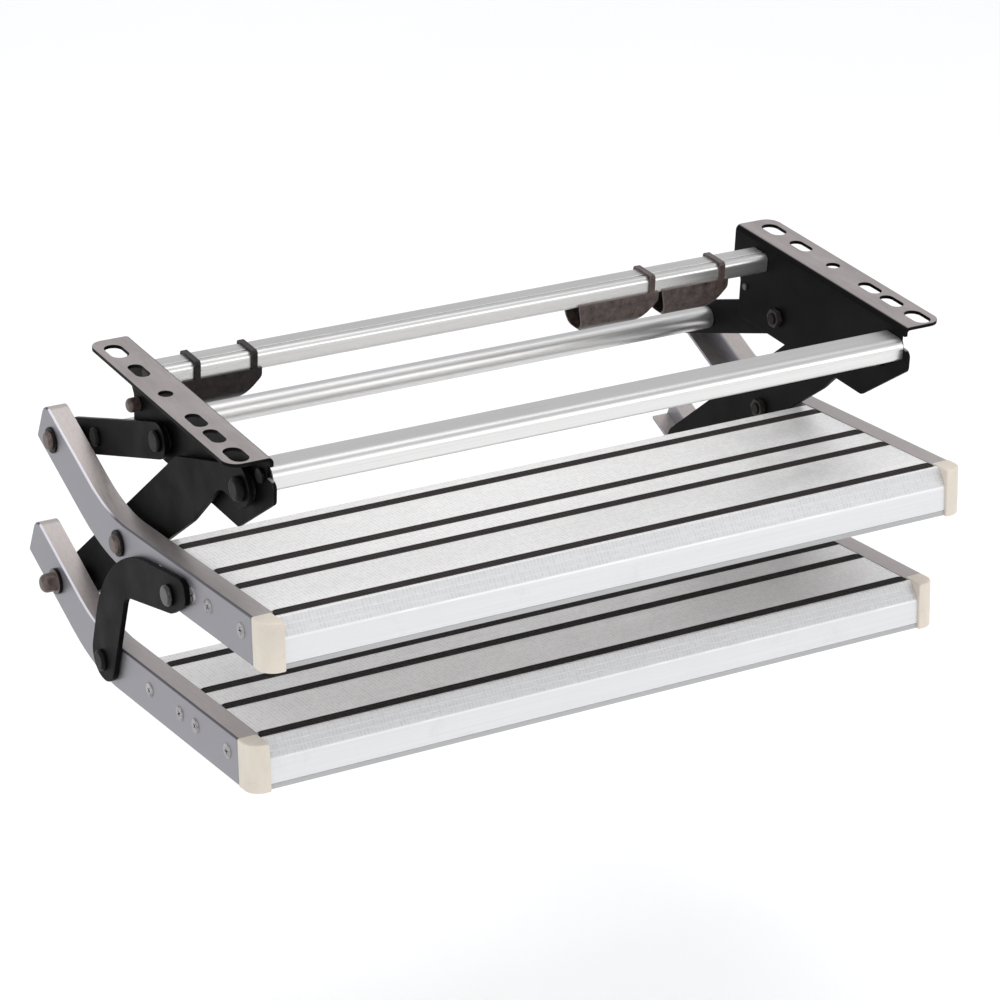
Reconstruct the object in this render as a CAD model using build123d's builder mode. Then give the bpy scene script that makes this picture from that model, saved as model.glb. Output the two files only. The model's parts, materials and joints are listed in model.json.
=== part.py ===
from build123d import *
import os
from math import atan2, cos, degrees, hypot, radians, sin, tan

os.makedirs("parts", exist_ok=True)

# A folding caravan entry step with two treads, stowed under the floor. Millimetres.
# X runs to the right, Y to the rear and Z up. The origin lies midway between the two
# round fixing holes, on top of the mounting flanges. A (y, z) pair is a spot seen from
# the side, and a reach is a distance from the middle of the step towards either side.

# Brackets, folded from sheet steel
bracket_spacing = 574.0  # between the inner faces of the two plates
bracket_sheet = 3.0
fold_radius = 2.0  # inside of the fold
fold_leg = 8.0  # depth of the folded strip where the plate's relief notch starts
flange_width = 37.6
flange_front = 136.6  # from the round hole to the front end
flange_rear = 113.4
flange_corner = 12.0
hole_line = 23.3  # from the plate's inner face to the line of holes
round_hole = 5.85
slot_width = 12.0
slot_length = 25.0
slot_places = (-84.6, -53.6, 48.0)  # from the round hole
end_slot_width = 15.0
end_slot_length = 26.0
end_slot_places = (-120.6, 89.2)
plate_depth = 80.0
plate_rear = 101.0  # from the round hole to the plate's rear edge, below its shoulder
shoulder_top = 28.0
shoulder_bottom = 46.0
nose_reach = 6.1  # plate ahead of the flange
nose_top = 18.9
nose_bottom = 36.0
nose_corner = 6.0
notch_depth = 5.6
chin_place = 85.0  # from the round hole to where the plate's front slopes up

# Pivots on the brackets, and the rest position of the linkage
link_pivot = (-103.2, -38.0)
arm_pivot = (42.7, -60.3)
link_slope = -35.54  # degrees, long links at rest
step_lean = -6.36  # degrees, treads at rest

# Long links
link_sheet = 4.5
link_length = 356.4  # bracket pivot to lower step
hinge_along = 205.6  # bracket pivot to upper step
hinge_rise = 2.7
link_lobe = 14.5  # round the bracket pivot
lobe_front = 11.0
lobe_radii = (11.5, 8.7, 13.5)  # behind, under and ahead of the bracket pivot
link_end = 21.4  # past the lower hinge, and below it
link_tip_top = 18.1
link_hump = (103.0, 48.0)
hump_radius = 12.0
waist = (34.0, 8.5)
waist_radius = 20.0
belly = (104.0, -4.6)
belly_radius = 60.0
round_share = 0.49  # of a flat end's height, for corners that leave it almost round

# Rear links
arm_width = 30.0
crossbar_along = 121.8
middle_bar_radius = 10.0
middle_bar_bore = 4.0
middle_bolt_head = 8.0
middle_bolt_length = 20.0

# Side rails, measured from the hinge hole: channels open inboard
rail_gap = 4.0  # between a long link and a rail
rail_depth = 18.0
rail_wall = 2.5
rail_height = 40.0
rail_above = 17.8  # from the hinge hole to the rail's top
arm_hole = (124.3, 50.0)
arm_rise = 27.9  # degrees
arm_height = 39.5
arm_end = 26.0  # past the arm hole
arm_corner = 12.0
arm_heel = 2.0
crook_radius = 150.0
link_hole_back = 31.05  # lower rail: from the arm hole back to the long link's hole
lever_hole = (-103.4, -8.4)

# Planks, grip strips and end caps
plank_depth = 98.8
plank_joint = 0.2
plank_skin = 2.5
plank_drop = 0.4  # tread surface below the rail's top
plank_leg = 22.0
leg_wall = 3.0
plank_to_hinge = 58.1  # from the rear plank's rear edge to the hinge hole
overhang = 18.7  # plank ahead of the rail's front end
nosing_height = 39.0
nosing_run = 9.9
nosing_fall = 14.3
nosing_round = 6.0
brow_round = 1.5
lip = 5.0
lip_round = 1.0
edge_round = 0.5
crease_round = 0.3
nosing_line = 0.6  # radius of the drawn lines along the nosing
slope_lines = (0.36, 0.66)  # shares of the slope
lip_line = 4.5  # above the nosing's lower edge
strip_width = 10.0
strip_depth = 2.0
strip_stand = 0.5
groove_floor = 2.0
strip_inset = 18.2
front_insets = (37.7, 5.1)  # front plank's screws, from its front face and its rear edge
rear_insets = (22.7, 20.6)
screw_drop = 17.0  # below the rail's top
screw_radius = 2.0
screw_head = 4.0
screw_length = 18.0
countersink = 45.0
port_wall = 1.9
rib_wall = 2.0
cap_width = 17.0
cap_length = 21.3
cap_corner = 12.8
cap_wall = 2.5
cap_proud = 0.3
cap_round = 1.5
cap_inner_corner = 1.0
plug_length = 9.0
plug_height = 28.0

# Levers
lever_gap = 1.2
lever_sheet = 4.5
lever_tail = (-28.1, 20.8)  # from the lever hole, as are its heel and toe
lever_heel = (-2.6, -15.1)
lever_toe = (-30.1, 1.4)
lever_end_radii = (10.0, 16.0, 7.0)  # at the tail, the heel and the toe
elbow_ahead = 18.5  # of the lower hole, as is the crook's
elbow_rise = 6.8  # over the lever hole
elbow_share = 1.08  # elbow's radius as a share of its distance from the lower hole
crook_ahead = 52.7
crook_fall = 30.2
crook_round = 15.0
foot_behind = 23.5
foot_ahead = 19.0
lever_past = 16.5
foot_round = 20.0

# Crossbars between the brackets
bar_wall = 2.4
front_bar = (-123.0, -20.1)
front_bar_size = (26.5, 18.0)
front_bar_round = 8.0
rear_bar = (74.1, -18.1)
rear_bar_size = (23.5, 16.0)
rear_bar_round = 5.0
bar_corner = 3.0
groove_width = 2.4
groove_depth = 1.2
bar_bolt = 3.0
bar_bolt_head = 6.0
bar_bolt_length = 16.0

# Clips under the rear crossbar
clip_sheet = 2.0
strap_width = 5.0
strap_round = 3.0
strap_inset = 4.0
strap_left_inset = 10.0
trough_radius = 13.0
trough_drop = 9.0  # straight walls between the crossbar and the round floor
trough_lip = 3.0  # ears beside the crossbar
trough_rise = 20.0  # length of the right end that sweeps up
trough_heel = 5.0  # lean of the left end
trough_end_radii = (5.0, 14.0, 6.0)
left_clip_inset = 21.0  # from the left plate's inner face
left_clip_length = 69.0
outer_clip_inset = 41.0  # from the right plate's inner face
outer_clip_length = 66.0
clip_spacing = 4.0
inner_clip_length = 78.0

# Fasteners and clearances
pin_radius = 5.0
head_radius = 9.0
big_head_radius = 10.0
head_height = 4.0
big_head_height = 6.0
dome_height = 11.5
dome_radius = 8.0
collar_radius = 11.0
collar_height = 2.0
dome_collar_height = 3.5
dome_share = 0.6  # of a head's radius, for its round edge
brow_share = 0.7  # of a head's height, for the same
nut_height = 5.0
nut_radius = 8.5
nut_sides = 6
thread_past = 1.5
washer_radius = 11.0
spacer_radius = 8.0
stop_place = (92.5, -50.5)
stop_reach = 10.0  # of the stop bolt's head past the plate
link_gap = 3.5  # between a plate and a link
side_gap = 0.3  # beside a face that moves past
fit_gap = 0.1  # round a fastener that stays still
running_gap = 0.05  # round a pin that turns
seat_gap = 0.1  # between pieces laid beside each other
overrun = 1.0  # of a drawn shape into or past what it joins or cuts
quarter_turn = 90

# Reaches of the layers, from the middle of the step outwards
plate_inner = bracket_spacing / 2
plate_outer = plate_inner + bracket_sheet
link_inner = plate_outer + link_gap
link_outer = link_inner + link_sheet
rail_inner = link_outer + rail_gap
rail_outer = rail_inner + rail_depth
web_inner = rail_outer - rail_wall
lever_inner = rail_outer + lever_gap
lever_outer = lever_inner + lever_sheet
cap_inner = rail_outer - cap_width

# Ends of the clips across the step
left_clip_start = left_clip_inset - plate_inner
left_clip_ends = (left_clip_start, left_clip_start + left_clip_length)
outer_clip_end = plate_inner - outer_clip_inset
outer_clip_ends = (outer_clip_end - outer_clip_length, outer_clip_end)
inner_clip_end = outer_clip_ends[0] - clip_spacing
inner_clip_ends = (inner_clip_end - inner_clip_length, inner_clip_end)

# Places along a tread from the hinge hole, to the front being negative
rail_front = 2 * plank_depth + plank_joint - overhang + plank_to_hinge
front_plank = -rail_front - overhang
rear_plank = front_plank + plank_depth + plank_joint
front_screws = (front_plank + front_insets[0], front_plank + plank_depth - front_insets[1])
rear_screws = (rear_plank + rear_insets[0], rear_plank + plank_depth - rear_insets[1])


def turned(spot, angle):
    """A spot turned about the X axis through the origin."""
    c = cos(radians(angle))
    s = sin(radians(angle))
    return (spot[0] * c - spot[1] * s, spot[0] * s + spot[1] * c)


def placed(origin, spot, angle):
    """A spot of a piece that stands at origin, turned by angle."""
    y, z = turned(spot, angle)
    return (origin[0] + y, origin[1] + z)


def between(start, end):
    """Distance and slope from one spot to another."""
    y = end[0] - start[0]
    z = end[1] - start[1]
    return hypot(y, z), degrees(atan2(z, y))


# Places of the pivots at rest
link_hole = placed(arm_hole, (-link_hole_back, 0.0), arm_rise)
upper_hinge = placed(link_pivot, (hinge_along, hinge_rise), link_slope)
lower_joint = placed(link_pivot, (link_length, 0.0), link_slope)
upper_arm = placed(upper_hinge, arm_hole, step_lean)
upper_lever = placed(upper_hinge, lever_hole, step_lean)
lower_hinge = placed(lower_joint, (-link_hole[0], -link_hole[1]), step_lean)
arm_length, arm_slope = between(arm_pivot, upper_arm)
middle_bar = placed(arm_pivot, (crossbar_along, 0.0), arm_slope)
lever_foot = turned((lower_hinge[0] - upper_hinge[0], lower_hinge[1] - upper_hinge[1]), -step_lean)
lever_elbow = (lever_foot[0] - elbow_ahead, lever_hole[1] + elbow_rise)
lever_crook = (lever_foot[0] - crook_ahead, lever_hole[1] - crook_fall)


def side_plane(reach, spot=(0.0, 0.0), turn=0.0):
    """Side view at this reach on the left, facing inboard, with x to the rear and y up."""
    across = (0, cos(radians(turn)), sin(radians(turn)))
    return Plane(origin=(-reach, spot[0], spot[1]), x_dir=across, z_dir=(1, 0, 0))


def tread_plane(spot, level):
    """Plan view of a step at this level over its hinge hole, with y to the rear."""
    y, z = placed(spot, (0.0, level), step_lean)
    upright = (0, -sin(radians(step_lean)), cos(radians(step_lean)))
    return Plane(origin=(0, y, z), x_dir=(1, 0, 0), z_dir=upright)


def flipped(left):
    """The right-hand twin of a left-hand piece."""
    with BuildPart() as twin:
        mirror(left.part, about=Plane.YZ)
    return twin


def bracket():
    """A folded bracket: the slotted flange on top and the pivot plate below it."""
    with BuildPart() as piece:
        section = Plane(origin=(0, -flange_front, 0), x_dir=(1, 0, 0), z_dir=(0, -1, 0))
        with BuildSketch(section):
            with BuildLine():
                FilletPolyline(
                    (-plate_inner - flange_width, 0),
                    (-plate_inner, 0),
                    (-plate_inner, -fold_leg),
                    (-plate_outer, -fold_leg),
                    (-plate_outer, -bracket_sheet),
                    (-plate_inner - flange_width, -bracket_sheet),
                    radius=[0, fold_radius + bracket_sheet, 0, 0, fold_radius, 0],
                    close=True,
                )
            make_face()
        extrude(amount=-flange_front - flange_rear)
        corners = piece.edges().filter_by(Axis.Z).sort_by(Axis.X)[:2]
        fillet(corners, flange_corner)
        with BuildSketch(side_plane(plate_outer)):
            with BuildLine():
                FilletPolyline(
                    (-flange_front + notch_depth, -fold_leg + overrun),
                    (flange_rear, -fold_leg + overrun),
                    (flange_rear, -shoulder_top),
                    (plate_rear, -shoulder_bottom),
                    (plate_rear, -plate_depth),
                    (-chin_place, -plate_depth),
                    (-flange_front - nose_reach, -nose_bottom),
                    (-flange_front - nose_reach, -nose_top),
                    (-flange_front + notch_depth, -nose_top),
                    radius=[0, 0, *[nose_corner] * 6, fold_radius],
                    close=True,
                )
            make_face()
        extrude(amount=bracket_sheet)
        with BuildSketch(Plane.XY):
            line = -plate_inner - hole_line
            with Locations((line, 0)):
                Circle(round_hole)
            with Locations([(line, place) for place in slot_places]):
                SlotOverall(slot_length, slot_width, rotation=quarter_turn)
            with Locations([(line, place) for place in end_slot_places]):
                SlotOverall(end_slot_length, end_slot_width, rotation=quarter_turn)
        extrude(amount=-bracket_sheet, mode=Mode.SUBTRACT)
        with BuildSketch(side_plane(plate_outer)):
            with Locations(link_pivot, arm_pivot):
                Circle(pin_radius + fit_gap)
            with Locations(front_bar, rear_bar, stop_place):
                Circle(bar_bolt + fit_gap)
        extrude(amount=bracket_sheet, mode=Mode.SUBTRACT)
    return piece


def crossbar(centre, size, front_round, grooved):
    """A hollow extruded bar between the plates, with a bolt port down its middle."""
    half_depth = size[0] / 2
    half_height = size[1] / 2
    with BuildPart() as bar:
        with BuildSketch(side_plane(plate_inner, centre)):
            for inset, mode in ((0.0, Mode.ADD), (bar_wall, Mode.SUBTRACT)):
                with BuildLine():
                    FilletPolyline(
                        (-half_depth + inset, half_height - inset),
                        (half_depth - inset, half_height - inset),
                        (half_depth - inset, -half_height + inset),
                        (-half_depth + inset, -half_height + inset),
                        radius=[front_round - inset, *[bar_corner - inset] * 3],
                        close=True,
                    )
                make_face(mode=mode)
            Circle(bar_bolt + fit_gap + port_wall)
            Rectangle(rib_wall, size[1] - bar_wall)
            Circle(bar_bolt + fit_gap, mode=Mode.SUBTRACT)
            if grooved:
                with Locations((-half_depth + front_round + groove_width, half_height)):
                    Rectangle(groove_width, 2 * groove_depth, mode=Mode.SUBTRACT)
        extrude(amount=2 * plate_inner)
    return bar


def clip(ends, strap_places):
    """A saddle clip: straps round the rear crossbar, and a trough under it whose right end sweeps up."""
    half_depth = rear_bar_size[0] / 2 + fit_gap
    under = -rear_bar_size[1] / 2 - fit_gap
    floor = under - trough_drop - trough_radius
    front = Plane(origin=(0, rear_bar[0], rear_bar[1]), x_dir=(1, 0, 0), z_dir=(0, -1, 0))
    with BuildPart() as piece:
        with BuildSketch(side_plane(-ends[0], rear_bar)):
            for wall, mode in ((clip_sheet, Mode.ADD), (0.0, Mode.SUBTRACT)):
                depth = half_depth + wall
                with BuildLine():
                    FilletPolyline(
                        (-depth, under + trough_lip),
                        (-depth, floor - wall),
                        (depth, floor - wall),
                        (depth, under + trough_lip),
                        radius=[0, round_share * 2 * depth, round_share * 2 * depth, 0],
                        close=True,
                    )
                make_face(mode=mode)
        extrude(amount=ends[1] - ends[0])
        with BuildSketch(front):
            with BuildLine():
                FilletPolyline(
                    (ends[0], under + trough_lip),
                    (ends[0] + trough_heel, floor - clip_sheet),
                    (ends[1] - trough_rise, floor - clip_sheet),
                    (ends[1], under - trough_drop / 2),
                    (ends[1], under + trough_lip),
                    radius=[0, *trough_end_radii, 0],
                    close=True,
                )
            make_face()
        extrude(amount=2 * half_depth, both=True, mode=Mode.INTERSECT)
        for start in strap_places:
            with BuildSketch(side_plane(-start, rear_bar)):
                RectangleRounded(
                    2 * (half_depth + clip_sheet),
                    2 * (clip_sheet - under),
                    strap_round,
                )
                Rectangle(2 * half_depth, -2 * under, mode=Mode.SUBTRACT)
            extrude(amount=strap_width)
    return piece


def long_link():
    """A long flat link, humped behind its bracket pivot and waisted in front."""
    with BuildPart() as link:
        with BuildSketch(side_plane(link_outer, link_pivot, link_slope)):
            tip = link_length + link_end
            tip_round = round_share * (link_tip_top + link_end)
            behind, under, ahead = lobe_radii
            with BuildLine():
                FilletPolyline(
                    (-link_lobe, link_lobe),
                    link_hump,
                    (tip, link_tip_top),
                    (tip, -link_end),
                    belly,
                    waist,
                    (lobe_front, -link_lobe),
                    (-link_lobe, -link_lobe),
                    radius=[
                        behind,
                        hump_radius,
                        tip_round,
                        tip_round,
                        belly_radius,
                        waist_radius,
                        under,
                        ahead,
                    ],
                    close=True,
                )
            make_face()
            with Locations((0, 0)):
                Circle(pin_radius + running_gap, mode=Mode.SUBTRACT)
            with Locations((hinge_along, hinge_rise), (link_length, 0)):
                Circle(pin_radius + fit_gap, mode=Mode.SUBTRACT)
        extrude(amount=link_sheet)
    return link


def rear_link():
    """A straight round-ended link from the bracket to the upper arm."""
    with BuildPart() as link:
        with BuildSketch(side_plane(link_outer, arm_pivot, arm_slope)):
            with Locations((arm_length / 2, 0)):
                SlotCenterToCenter(arm_length, arm_width)
            Circle(pin_radius + running_gap, mode=Mode.SUBTRACT)
            with Locations((arm_length, 0)):
                Circle(pin_radius + fit_gap, mode=Mode.SUBTRACT)
            with Locations((crossbar_along, 0)):
                Circle(middle_bar_bore + fit_gap, mode=Mode.SUBTRACT)
        extrude(amount=link_sheet)
    return link


def rail_corners(inset, past):
    """Corners of a rail's side view, drawn in by inset, with both ends run out past it."""
    top = rail_above - inset
    bottom = rail_above - rail_height + inset
    half = arm_height / 2 - inset
    over = placed(arm_hole, (0.0, half), arm_rise)
    under = placed(arm_hole, (0.0, -half), arm_rise)
    rise = tan(radians(arm_rise))
    return [
        (-rail_front - past, top),
        (over[0] + (top - over[1]) / rise, top),
        placed(arm_hole, (arm_end + past, half), arm_rise),
        placed(arm_hole, (arm_end + past, -half), arm_rise),
        (under[0] + (bottom - under[1]) / rise, bottom),
        (-rail_front - past, bottom),
    ]


def rail(hinge, running_holes, still_holes):
    """A cranked channel, open inboard, drilled for its pivots and plank screws."""
    outer = side_plane(rail_outer, hinge, step_lean)
    screws = [(place, rail_above - screw_drop) for place in front_screws + rear_screws]
    with BuildPart() as piece:
        with BuildSketch(outer):
            with BuildLine():
                FilletPolyline(
                    rail_corners(0.0, 0.0),
                    radius=[0, crook_radius, arm_corner, arm_heel, crook_radius + rail_height, 0],
                    close=True,
                )
            make_face()
        extrude(amount=rail_depth)
        with BuildSketch(outer.offset(rail_wall)):
            with BuildLine():
                FilletPolyline(
                    rail_corners(rail_wall, overrun),
                    radius=[
                        0,
                        crook_radius + rail_wall,
                        arm_corner - rail_wall,
                        0,
                        crook_radius + rail_height - rail_wall,
                        0,
                    ],
                    close=True,
                )
            make_face()
        extrude(amount=rail_depth, mode=Mode.SUBTRACT)
        with BuildSketch(outer):
            with Locations(running_holes):
                Circle(pin_radius + running_gap)
            with Locations(still_holes):
                Circle(pin_radius + fit_gap)
            with Locations(screws):
                Circle(screw_radius + fit_gap)
        extrude(amount=rail_wall, mode=Mode.SUBTRACT)
        with BuildSketch(outer):
            with Locations(screws):
                Circle(screw_head)
        extrude(amount=screw_head - screw_radius, taper=countersink, mode=Mode.SUBTRACT)
    return piece


def plank(hinge, front, screws, nosed):
    """An extruded tread plank with two grip grooves, open below, notched into the rails."""
    top = rail_above - plank_drop
    rear = front + plank_depth
    strips = (front + strip_inset, rear - strip_inset)
    bottom = top - nosing_height
    fall = atan2(nosing_run, nosing_fall)
    skin_front = front + nosing_run if nosed else front
    with BuildPart() as piece:
        with BuildSketch(side_plane(web_inner, hinge, step_lean)):
            with Locations((skin_front, top)):
                Rectangle(rear - skin_front, plank_skin, align=(Align.MIN, Align.MAX))
            with Locations((rear, top)):
                Rectangle(leg_wall, plank_leg, align=(Align.MAX, Align.MAX))
            if nosed:
                knee_in = plank_skin * tan(fall / 2)
                brow_in = plank_skin * tan((radians(quarter_turn) - fall) / 2)
                with BuildLine():
                    FilletPolyline(
                        (skin_front + brow_in + overrun, top),
                        (skin_front, top),
                        (front, top - nosing_fall),
                        (front, bottom),
                        (front + lip, bottom),
                        (front + lip, bottom + plank_skin),
                        (front + plank_skin, bottom + plank_skin),
                        (front + plank_skin, top - nosing_fall - knee_in),
                        (skin_front + brow_in, top - plank_skin),
                        (skin_front + brow_in + overrun, top - plank_skin),
                        radius=[
                            0,
                            brow_round,
                            nosing_round,
                            lip_round,
                            edge_round,
                            edge_round,
                            edge_round,
                            nosing_round - plank_skin,
                            crease_round,
                            0,
                        ],
                        close=True,
                    )
                make_face()
                lines = [
                    (skin_front - nosing_run * share, top - nosing_fall * share)
                    for share in slope_lines
                ]
                with Locations(lines, (front, bottom + lip_line)):
                    Circle(nosing_line, mode=Mode.SUBTRACT)
            else:
                with Locations((front, top)):
                    Rectangle(leg_wall, plank_leg, align=(Align.MIN, Align.MAX))
            for strip in strips:
                with Locations((strip, top)):
                    Rectangle(
                        strip_width + 2 * rib_wall,
                        strip_depth + groove_floor,
                        align=(Align.CENTER, Align.MAX),
                    )
                    Rectangle(
                        strip_width,
                        strip_depth,
                        align=(Align.CENTER, Align.MAX),
                        mode=Mode.SUBTRACT,
                    )
            for screw in screws:
                with Locations((screw, rail_above - screw_drop)):
                    Circle(screw_radius + fit_gap + port_wall)
                    Rectangle(
                        rib_wall,
                        screw_drop - plank_drop - strip_depth,
                        align=(Align.CENTER, Align.MIN),
                    )
                    Circle(screw_radius + fit_gap, mode=Mode.SUBTRACT)
        extrude(amount=2 * web_inner)
        notch = web_inner - rail_inner + seat_gap
        for reach in (web_inner, -web_inner + notch):
            with BuildSketch(side_plane(reach, hinge, step_lean)):
                with Locations((-rail_front, top - plank_skin)):
                    Rectangle(2 * rail_front, plank_skin + overrun, align=(Align.MIN, Align.MIN))
            extrude(amount=notch, mode=Mode.SUBTRACT)
        if nosed:
            recess = web_inner - cap_inner + seat_gap
            for reach in (web_inner, -web_inner + recess):
                with BuildSketch(side_plane(reach, hinge, step_lean)):
                    with Locations((-rail_front, top + overrun)):
                        Rectangle(
                            overhang + overrun,
                            nosing_height + 2 * overrun,
                            align=(Align.MAX, Align.MAX),
                        )
                extrude(amount=recess, mode=Mode.SUBTRACT)
    return piece


def grips(hinge, fronts):
    """The rubber strips that lie in the planks' grooves."""
    base = rail_above - plank_drop - strip_depth
    with BuildPart() as strips:
        with BuildSketch(side_plane(rail_inner - seat_gap, hinge, step_lean)):
            for front in fronts:
                with Locations((front + strip_inset, base), (front + plank_depth - strip_inset, base)):
                    Rectangle(
                        strip_width - 2 * seat_gap,
                        strip_depth + strip_stand,
                        align=(Align.CENTER, Align.MIN),
                    )
        extrude(amount=2 * (rail_inner - seat_gap))
    return strips


def end_cap(hinge):
    """A moulded cap over a rail's front end: a round-cornered shell with a hollow plug."""
    low = rail_above - rail_height - cap_proud
    high = rail_above + cap_proud
    outside = -rail_outer - cap_proud
    back = -rail_front
    front = back - cap_length
    with BuildPart() as cap:
        with BuildSketch(tread_plane(hinge, low)):
            with BuildLine():
                FilletPolyline(
                    (outside, back),
                    (outside, front),
                    (-cap_inner, front),
                    (-cap_inner, back),
                    radius=[0, cap_corner, cap_inner_corner, 0],
                    close=True,
                )
            make_face()
        extrude(amount=high - low)
        rearward = Axis((0, 0, 0), side_plane(0, turn=step_lean).x_dir)
        upward = Axis((0, 0, 0), tread_plane(hinge, 0).z_dir)
        rims = cap.faces().sort_by(upward)[0].edges().sort_by(rearward)[:-1]
        rims += cap.faces().sort_by(upward)[-1].edges().sort_by(rearward)[:-1]
        fillet(rims, cap_round)
        with BuildSketch(tread_plane(hinge, low + cap_wall)):
            with BuildLine():
                FilletPolyline(
                    (outside + cap_wall, back),
                    (outside + cap_wall, front + cap_wall),
                    (-cap_inner - cap_wall, front + cap_wall),
                    (-cap_inner - cap_wall, back),
                    radius=[0, cap_corner - cap_wall, cap_inner_corner, 0],
                    close=True,
                )
            make_face()
        extrude(amount=high - low - 2 * cap_wall, mode=Mode.SUBTRACT)
        plug_floor = rail_above - rail_height + rail_wall + seat_gap
        for shrink, lift, mode in ((0.0, 0.0, Mode.ADD), (rib_wall, rib_wall, Mode.SUBTRACT)):
            with BuildSketch(tread_plane(hinge, plug_floor + lift)):
                with BuildLine():
                    Polyline(
                        (-web_inner + seat_gap + shrink, back + plug_length),
                        (-web_inner + seat_gap + shrink, back - cap_wall),
                        (-cap_inner - seat_gap - shrink, back - cap_wall),
                        (-cap_inner - seat_gap - shrink, back + plug_length),
                        close=True,
                    )
                make_face()
            extrude(amount=plug_height - 2 * lift, mode=mode)
    return cap


def plank_screws(hinge):
    """Countersunk screws through the rail webs into the planks' ports."""
    outer = side_plane(rail_outer, hinge, step_lean)
    screws = [(place, rail_above - screw_drop) for place in front_screws + rear_screws]
    with BuildPart() as row:
        with BuildSketch(outer):
            with Locations(screws):
                Circle(screw_head - running_gap)
        extrude(amount=screw_head - screw_radius, taper=countersink)
        with BuildSketch(outer.offset(screw_head - screw_radius - running_gap)):
            with Locations(screws):
                Circle(screw_radius - running_gap)
        extrude(amount=screw_length)
        mirror(row.part, about=Plane.YZ)
    return row


def lever():
    """An L-shaped lever from the upper rail down to the lower rail's hinge hole."""
    drop, slope = between(lever_elbow, lever_foot)
    tail_round, heel_round, toe_round = lever_end_radii
    tail, heel, toe = [
        (lever_hole[0] + corner[0], lever_hole[1] + corner[1])
        for corner in (lever_tail, lever_heel, lever_toe)
    ]
    with BuildPart() as piece:
        with BuildSketch(side_plane(lever_outer, upper_hinge, step_lean)):
            with BuildLine():
                FilletPolyline(
                    tail,
                    lever_elbow,
                    placed(lever_foot, (lever_past, foot_behind), slope),
                    placed(lever_foot, (lever_past, -foot_ahead), slope),
                    lever_crook,
                    heel,
                    toe,
                    radius=[
                        tail_round,
                        elbow_share * drop,
                        foot_round,
                        foot_round,
                        crook_round,
                        heel_round,
                        toe_round,
                    ],
                    close=True,
                )
            make_face()
            with Locations(lever_hole):
                Circle(pin_radius + running_gap, mode=Mode.SUBTRACT)
            with Locations(lever_foot):
                Circle(pin_radius + fit_gap, mode=Mode.SUBTRACT)
        extrude(amount=lever_sheet)
    return piece


def turned_pins(spot, steps, domed):
    """A pair of turned pins: each step is (outer reach, inner reach, radius)."""
    with BuildPart() as pins:
        for outer_reach, inner_reach, radius in steps:
            with BuildSketch(side_plane(outer_reach, spot)):
                Circle(radius)
            extrude(amount=outer_reach - inner_reach)
        if domed:
            brow = min(steps[0][2] * dome_share, (steps[0][0] - steps[0][1]) * brow_share)
            fillet(pins.faces().sort_by(Axis.X)[0].edges(), brow)
        mirror(pins.part, about=Plane.YZ)
    return pins


def rings(spots, outer_reach, inner_reach, radius, bore):
    """Pairs of round washers or spacers."""
    with BuildPart() as pair:
        with BuildSketch(side_plane(outer_reach)):
            with Locations(spots):
                Circle(radius)
                Circle(bore, mode=Mode.SUBTRACT)
        extrude(amount=outer_reach - inner_reach)
        mirror(pair.part, about=Plane.YZ)
    return pair


def nuts(spots, outer_reach):
    """Pairs of hexagon nuts that seat on an inner face at this reach."""
    with BuildPart() as pair:
        with BuildSketch(side_plane(outer_reach)):
            with Locations(spots):
                RegularPolygon(nut_radius, nut_sides)
                Circle(pin_radius + running_gap, mode=Mode.SUBTRACT)
        extrude(amount=nut_height)
        mirror(pair.part, about=Plane.YZ)
    return pair


pieces = {}

# Frame
pieces["left_bracket"] = bracket()
pieces["right_bracket"] = flipped(pieces["left_bracket"])
pieces["front_crossbar"] = crossbar(front_bar, front_bar_size, front_bar_round, False)
pieces["rear_crossbar"] = crossbar(rear_bar, rear_bar_size, rear_bar_round, True)
strap_back = strap_inset + strap_width
left_straps = (left_clip_ends[0] + strap_left_inset, left_clip_ends[1] - strap_back)
pieces["left_clip"] = clip(left_clip_ends, left_straps)
pieces["right_inner_clip"] = clip(inner_clip_ends, (inner_clip_ends[1] - strap_back,))
pieces["right_outer_clip"] = clip(outer_clip_ends, (outer_clip_ends[1] - strap_back,))

plate_tip = plate_inner - nut_height - thread_past
link_head = link_outer + side_gap
pieces["link_pivot_bolts"] = turned_pins(
    link_pivot,
    [(link_head + big_head_height, link_head, big_head_radius), (link_head, plate_tip, pin_radius)],
    True,
)
pieces["arm_pivot_bolts"] = turned_pins(
    arm_pivot,
    [(rail_inner - 2 * side_gap, link_head, head_radius), (link_head, plate_tip, pin_radius)],
    True,
)
pieces["frame_washers"] = rings(
    (link_pivot, arm_pivot), link_inner - side_gap, plate_outer, washer_radius, pin_radius + fit_gap
)
pieces["frame_nuts"] = nuts((link_pivot, arm_pivot), plate_inner)
with BuildPart() as crossbar_bolts:
    with BuildSketch(side_plane(plate_outer + link_gap - 2 * side_gap)):
        with Locations(front_bar, rear_bar):
            Circle(bar_bolt_head)
    extrude(amount=link_gap - 2 * side_gap)
    with BuildSketch(side_plane(plate_outer)):
        with Locations(front_bar, rear_bar):
            Circle(bar_bolt)
    extrude(amount=bar_bolt_length)
    mirror(crossbar_bolts.part, about=Plane.YZ)
pieces["crossbar_bolts"] = crossbar_bolts
pieces["stop_bolts"] = turned_pins(
    stop_place,
    [
        (plate_outer + stop_reach, plate_outer, bar_bolt_head),
        (plate_outer, plate_inner - thread_past, bar_bolt),
    ],
    True,
)

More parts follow.
